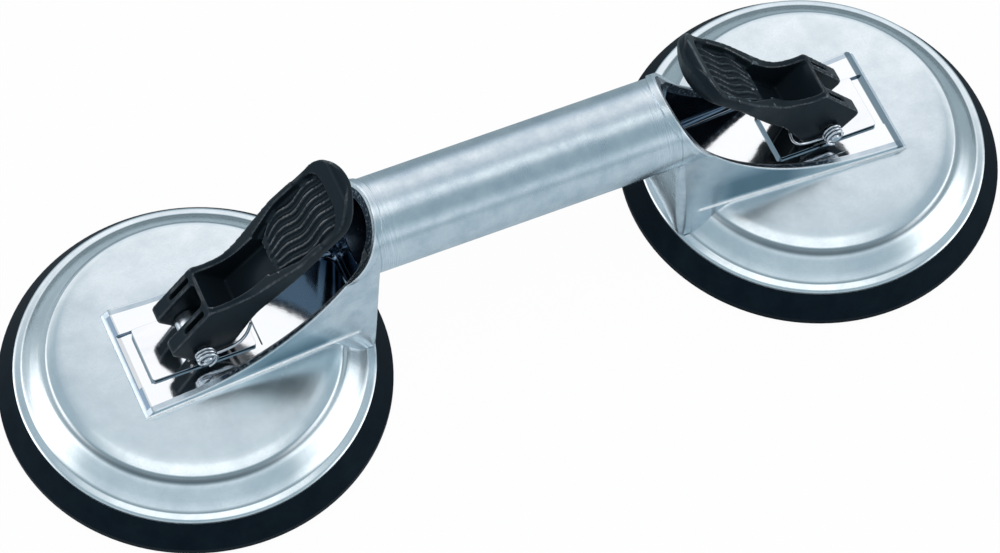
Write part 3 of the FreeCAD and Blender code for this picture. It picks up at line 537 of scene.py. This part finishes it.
def makeBlackPlastic():
    plan = plasticPlan
    plastic = Finish("blackPlastic", {
        "IOR": 1.52,
        "Specular IOR Level": 0.12,
        "Specular Tint": (0.45, 0.80, 1.0, 1.0),
        "Coat Roughness": 0.16,
        "Coat IOR": 2.2,
        "Coat Tint": (0.62, 0.86, 1.0, 1.0),
    })
    grain = plastic.noise(plastic.place(), 5.0, 3.0, 0.6)
    flow = plastic.noise(plastic.place(0.6, 1.0, 0.6), 0.16, 4.0, 0.55)
    scuff = plastic.noise(plastic.place(2.4, 0.5, 2.4), 0.5, 4.0, 0.7).above(0.60, 0.12)
    crest = (plastic.node("ShaderNodeNewGeometry", output="Pointiness").above(0.54, 0.05)
             * (0.30 + 0.7 * plastic.noise(plastic.place(), 0.30, 2.0, 0.5).above(0.46, 0.3)))
    colour = plastic.blend(flow.above(0.5, 0.5), plan["deep"], plan["worn"])
    # painted sheen: the rib crests lightened
    colour = plastic.blend(crest * 0.6, colour, plan["worn"])
    rough = (plan["roughness"] + 0.14 * (flow - 0.4) + 0.10 * (grain - 0.5)
             + 0.12 * scuff - 0.08 * crest).clipped()
    skin = plastic.bump(grain, plan["grainDepth"])
    sink = plastic.bump(flow, plan["flowDepth"], skin)
    plastic.feed(Base_Color=colour, Roughness=rough, Normal=sink,
                 Coat_Weight=(1.2 * crest + 0.02).clipped())
    return plastic.material


rubberPlan = {
    "black": (0.005, 0.009, 0.014),
    "bloom": (0.013, 0.023, 0.031),
    "roughness": 0.50,
    "grainDepth": 0.02,
}


def makeBlackRubber():
    plan, shape = rubberPlan, shapePlan
    rubber = Finish("blackRubber", {"IOR": 1.50, "Specular IOR Level": 0.06,
                                    "Specular Tint": (0.4, 0.75, 1.0, 1.0)})
    x, y, z = rubber.axes()
    across = abs(x) - shape["cupReach"]
    radius = (across * across + y * y).root()
    grain = rubber.noise(rubber.place(), 3.0, 4.0, 0.65)
    bloom = rubber.noise(rubber.place(), 0.12, 5.0, 0.65)
    rings = rubber.noise(rubber.vector(radius * 2.0, z * 2.0, across * 0.02), 1.0, 2.0, 0.5)
    worn = bloom.above(0.55, 0.4) * 0.5 + grain.above(0.64, 0.1) * 0.3
    colour = rubber.blend(worn, plan["black"], plan["bloom"])
    rough = (plan["roughness"] + 0.2 * (bloom - 0.4) + 0.1 * (grain - 0.5)).clipped()
    skin = rubber.bump(grain + 0.5 * rings, plan["grainDepth"])
    rubber.feed(Base_Color=colour, Roughness=rough, Normal=skin)
    return rubber.material


finishes = {
    "cast_aluminium": makeCastAluminium(),
    "pressed_aluminium": makePressedAluminium(),
    "polished_steel": makePolishedSteel(),
    "zinc_steel": makeZincSteel("zincSteel", zincPlan),
    "spring_steel": makeZincSteel("springSteel", springSteelPlan),
    "black_plastic": makeBlackPlastic(),
    "black_rubber": makeBlackRubber(),
}

nodeFinishes = {
    "handle_body": "cast_aluminium",
    "disc": "pressed_aluminium",
    "cam_plate": "polished_steel",
    "rubber_pad": "black_rubber",
    "guide_bush": "zinc_steel",
    "foot_screws": "zinc_steel",
    "pad_core": "zinc_steel",
    "pull_stud": "zinc_steel",
    "pivot_pin": "zinc_steel",
    "pin_rings": "zinc_steel",
    "lever": "black_plastic",
    "lever_spring": "spring_steel",
    "return_spring": "spring_steel",
}

for nodeName, node in nodes.items():
    part = nodeName
    for side in sides:
        part = part.removeprefix(side + "_")
    node.data.materials.clear()
    node.data.materials.append(finishes[nodeFinishes[part]])
print("finishes made")


def addPiece(name, mesh, finish, body, *stands):
    piece = bpy.data.objects.new(name, mesh)
    bpy.context.collection.objects.link(piece)
    mesh.materials.clear()
    mesh.materials.append(finishes[finish])
    for face in mesh.polygons:
        face.use_smooth = True
    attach(piece, body)
    if stands:
        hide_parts(*stands)
    return piece


def makeDraft(data):
    draft = bpy.data.objects.new("draft", data)
    bpy.context.collection.objects.link(draft)
    return draft


def finishedMesh(draft):
    graph = bpy.context.evaluated_depsgraph_get()
    mesh = bpy.data.meshes.new_from_object(draft.evaluated_get(graph))
    bpy.data.objects.remove(draft)
    return mesh


# Flip levers: the moulded form with every edge softened. Lengths in mm.
leverPlan = {
    "grid": 0.40,
    "softness": 0.5,
    "smoothing": 5,
    "rimSmoothing": 14,
    "rimStart": 8.9,
    "rimGrowth": 0.12,
    "padReach": 66.0,
}


def smoothRim(mesh):
    plan = leverPlan
    form = bmesh.new()
    form.from_mesh(mesh)
    rim = [vert for vert in form.verts if abs(vert.co.x) < plan["padReach"] * mm]
    for step in range(plan["rimSmoothing"]):
        start = (plan["rimStart"] + step * plan["rimGrowth"]) * mm
        rim = [vert for vert in rim if abs(vert.co.y) > start]
        bmesh.ops.smooth_vert(form, verts=rim, factor=plan["softness"], use_axis_x=True,
                              use_axis_y=True, use_axis_z=True)
    form.to_mesh(mesh)
    form.free()
    return mesh


def mouldedMesh(node):
    draft = makeDraft(node.data.copy())
    remesh = draft.modifiers.new("grid", "REMESH")
    remesh.mode = "VOXEL"
    remesh.voxel_size = leverPlan["grid"] * mm
    soften = draft.modifiers.new("soften", "SMOOTH")
    soften.factor = leverPlan["softness"]
    soften.iterations = leverPlan["smoothing"]
    return smoothRim(finishedMesh(draft))


for side in sides:
    lever = side + "_lever"
    addPiece(side + "_moulded_lever", mouldedMesh(nodes[lever]), "black_plastic", lever, lever)
print("levers made")

# Lever springs: round wire, three turns on the pin and a leg that curls up the heel.
springPlan = {
    "wire": 0.50,
    "turnGap": 0.06,
    "roundness": 3,
    "coilRadius": 2.75,
    "turns": 3,
    "steps": 24,
    "firstTurn": -9.25,
    "pinHeight": 31.3,
    # points from the coil outwards: inward along x and rise from the pin
    "leg": [(4.0, -2.75), (7.4, -2.5), (10.6, -1.4), (12.8, 1.2), (14.0, 4.4), (14.6, 7.2)],
}


def makeSpringWire(side):
    plan = springPlan
    pinReach = sides[side] * shapePlan["cupReach"]
    points = []
    for inward, rise in reversed(plan["leg"]):
        points.append((inward, plan["firstTurn"], rise))
    for step in range(plan["turns"] * plan["steps"] + 1):
        turn = step / plan["steps"]
        angle = -math.pi / 2 - 2 * math.pi * turn
        across = plan["firstTurn"] - turn * (plan["wire"] * 2 + plan["turnGap"])
        points.append((plan["coilRadius"] * math.cos(angle), across,
                       plan["coilRadius"] * math.sin(angle)))
    curve = bpy.data.curves.new("springWire", "CURVE")
    curve.dimensions = "3D"
    curve.bevel_depth = plan["wire"] * mm
    curve.bevel_resolution = plan["roundness"]
    curve.use_fill_caps = True
    line = curve.splines.new("NURBS")
    line.points.add(len(points) - 1)
    for point, (inward, across, rise) in zip(line.points, points):
        place = (pinReach - sides[side] * inward, across, plan["pinHeight"] + rise)
        point.co = (*(part * mm for part in place), 1.0)
    line.order_u = plan["roundness"]
    line.use_endpoint_u = True
    lever = side + "_lever"
    addPiece(side + "_spring_wire", finishedMesh(makeDraft(curve)), "spring_steel", lever,
             lever + "_spring")


def makeReturnCoil(side):
    node = nodes[side + "_return_spring"]
    coil = addPiece(side + "_return_coil", node.data.copy(), "spring_steel", "handle",
                    side + "_return_spring")
    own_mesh(coil)


for side in sides:
    makeSpringWire(side)
    makeReturnCoil(side)
print("springs made")

# Studio: white floor and surroundings, a soft light overhead and a dim band low down.
studioPlan = {
    "floorSize": 3.0,
    "floorColour": (0.97, 0.97, 0.97),
    "floorGlow": 0.97,
    "skyStrength": 0.55,
    "glossStrength": 1.0,
    "keyPower": 9.0,
    "keySize": 1.2,
    "keyPlace": (-0.25, -0.15, 1.5),
    "keyAim": (0.0, 0.0, 0.03),
    # sky bands by angle from overhead, in degrees: negative behind, positive in front
    "bands": [
        (-180, (0.42, 0.50, 0.55)),
        (-104, (0.28, 0.36, 0.41)),
        (-88, (0.32, 0.40, 0.45)),
        (-72, (0.66, 0.74, 0.82)),
        (-60, (1.02, 1.03, 1.05)),
        (-44, (1.00, 1.01, 1.03)),
        (-34, (0.82, 0.85, 0.90)),
        (-22, (0.58, 0.65, 0.70)),
        (-14, (0.57, 0.65, 0.71)),
        (-7, (1.25, 1.28, 1.30)),
        (9, (1.25, 1.28, 1.30)),
        (16, (0.50, 0.58, 0.63)),
        (26, (0.32, 0.42, 0.47)),
        (42, (0.30, 0.41, 0.46)),
        (56, (0.50, 0.60, 0.66)),
        (68, (0.80, 0.88, 0.94)),
        (78, (0.58, 0.67, 0.73)),
        (90, (0.24, 0.34, 0.39)),
        (104, (0.54, 0.63, 0.69)),
        (130, (0.56, 0.64, 0.70)),
        (180, (0.42, 0.50, 0.55)),
    ],
    # the strip lights at both ends, and the dim stretches between them and overhead
    "sideBox": (1.70, 1.72, 1.75),
    "beside": (0.36, 0.46, 0.52),
    # how the floor reads in reflections, in front of the handle and behind it
    "frontGround": (0.56, 0.65, 0.71),
    "backGround": (0.31, 0.39, 0.43),
}


def makeFloor():
    plan = studioPlan
    half = plan["floorSize"] / 2
    outline = bmesh.new()
    corners = [outline.verts.new((x * half, y * half, 0.0))
               for x, y in ((-1, -1), (1, -1), (1, 1), (-1, 1))]
    outline.faces.new(corners)
    mesh = bpy.data.meshes.new("floor")
    outline.to_mesh(mesh)
    outline.free()
    floor = bpy.data.objects.new("floor", mesh)
    bpy.context.collection.objects.link(floor)
    paint = Finish("floorPaint", {"Roughness": 0.7, "Base Color": (*plan["floorColour"], 1.0)})
    white, gloss = paint.paths()
    x, y = paint.axes()[:2]
    nearX, nearY = wayPlan["front"]
    front = (x * nearX + y * nearY).above(0.0, 120.0)
    ground = paint.blend(front, plan["backGround"], plan["frontGround"])
    tone = paint.blend(gloss, (1.0, 1.0, 1.0), ground)
    glow = paint.node("ShaderNodeEmission", None, {"Color": tone, "Strength": 1.0})
    painted = Wire(paint, paint.shader.outputs[0])
    mixed = paint.node("ShaderNodeMixShader", None,
                       {0: white.larger(gloss) * plan["floorGlow"], 1: painted, 2: glow})
    output = paint.tree.nodes["Material Output"]
    paint.tree.links.new(mixed.socket, output.inputs["Surface"])
    mesh.materials.append(paint.material)


def makeSky():
    plan = studioPlan
    world = bpy.data.worlds.new("studio")
    world.use_nodes = True
    bpy.context.scene.world = world
    sky = Graph(world.node_tree)
    base = world.node_tree.nodes["Background"]
    direction = sky.node("ShaderNodeTexCoord", output="Generated")
    x, y, z = [sky.node("ShaderNodeSeparateXYZ", None, {0: direction}, output=axis)
               for axis in "XYZ"]
    nearX, nearY = wayPlan["front"]
    front = x * nearX + y * nearY
    along = abs(y * nearX - x * nearY)
    turn = front.calc("ARCTAN2", front, z) / (2 * math.pi) + 0.5
    stops = [(angle / 360 + 0.5, colour) for angle, colour in plan["bands"]]
    sideBox = along.above(0.86, 0.14) * z.above(0.04, 0.10) * (1.0 - z.above(0.62, 0.2))
    beside = along.between(0.34, 0.80, 0.16) * z.above(0.62, 0.2)
    surround = sky.blend(beside, sky.ramp(turn, stops), plan["beside"])
    surround = sky.blend(sideBox, surround, plan["sideBox"])
    white, gloss = sky.paths()
    colour = sky.blend(white, surround, (1.0, 1.0, 1.0))
    strength = (plan["skyStrength"] + (plan["glossStrength"] - plan["skyStrength"])
                * white.larger(gloss))
    sky.tree.links.new(colour.socket, base.inputs["Color"])
    sky.tree.links.new(strength.socket, base.inputs["Strength"])


def makeKeyLamp():
    plan = studioPlan
    data = bpy.data.lights.new("keyLamp", "AREA")
    data.energy = plan["keyPower"]
    data.size = plan["keySize"]
    lamp = bpy.data.objects.new("keyLamp", data)
    bpy.context.collection.objects.link(lamp)
    lamp.location = plan["keyPlace"]
    lamp.visible_glossy = False
    beam = Vector(plan["keyAim"]) - Vector(plan["keyPlace"])
    lamp.rotation_euler = beam.to_track_quat("-Z", "Y").to_euler()


makeFloor()
makeSky()
makeKeyLamp()
bpy.context.scene.view_settings.view_transform = "Standard"
print("studio lit")
